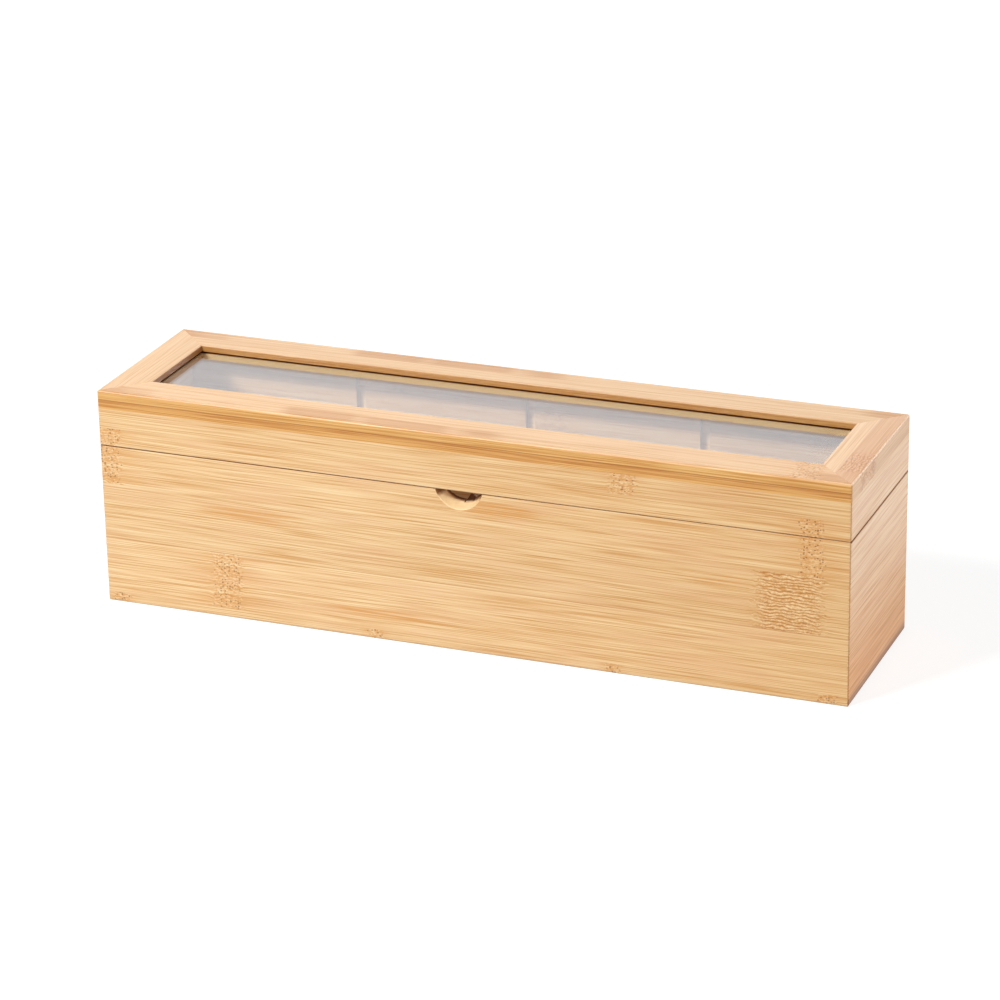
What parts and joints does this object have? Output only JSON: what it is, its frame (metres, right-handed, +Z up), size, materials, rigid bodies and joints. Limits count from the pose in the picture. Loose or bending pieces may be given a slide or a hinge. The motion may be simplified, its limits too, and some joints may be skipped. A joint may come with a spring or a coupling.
{
  "type": "tea bag organizer box",
  "caption": "Long bamboo box with divided compartments and a hinged lid that has a clear window, lifted at a finger notch in the front rim.",
  "frame": {"origin": "middle of the underside that the box rests on", "axes": "+X along the box to its right end, -Y to the front with the finger notch, +Z up"},
  "size_m": [0.338, 0.0892, 0.0982],
  "materials": {
    "bamboo_board": "satin lacquered bamboo, laminated strips, horizontal grain",
    "bamboo_panel": "thin bamboo panel, satin",
    "bamboo_frame": "satin lacquered bamboo, paler face, grain along each rail",
    "clear_pane": "clear, polished",
    "hinge_brass": "brass-plated sheet, satin",
    "pin_brass": "brass-plated wire and screws, polished"
  },
  "bodies": {
    "base": {"base_front_wall": "bamboo_board", "base_back_wall": "bamboo_board", "base_left_wall": "bamboo_board", "base_right_wall": "bamboo_board", "floor_panel": "bamboo_panel", "divider_left": "bamboo_panel", "divider_middle": "bamboo_panel", "divider_right": "bamboo_panel", "hinge_base_leaf_left": "hinge_brass", "hinge_base_leaf_right": "hinge_brass", "hinge_pin_left": "pin_brass", "hinge_pin_right": "pin_brass", "hinge_base_screws": "pin_brass"},
    "lid": {"lid_front_wall": "bamboo_board", "lid_back_wall": "bamboo_board", "lid_left_wall": "bamboo_board", "lid_right_wall": "bamboo_board", "frame_front_rail": "bamboo_frame", "frame_back_rail": "bamboo_frame", "frame_left_rail": "bamboo_frame", "frame_right_rail": "bamboo_frame", "window_pane": "clear_pane", "hinge_lid_leaf_left": "hinge_brass", "hinge_lid_leaf_right": "hinge_brass", "hinge_lid_screws": "pin_brass"}
  },
  "joints": [
    {"name": "lid_hinge", "type": "hinge", "parent": "base", "child": "lid", "pos_m": [0, 0.04475, 0.0731], "axis": [-1, 0, 0], "range_deg": [0, 100]}
  ]
}
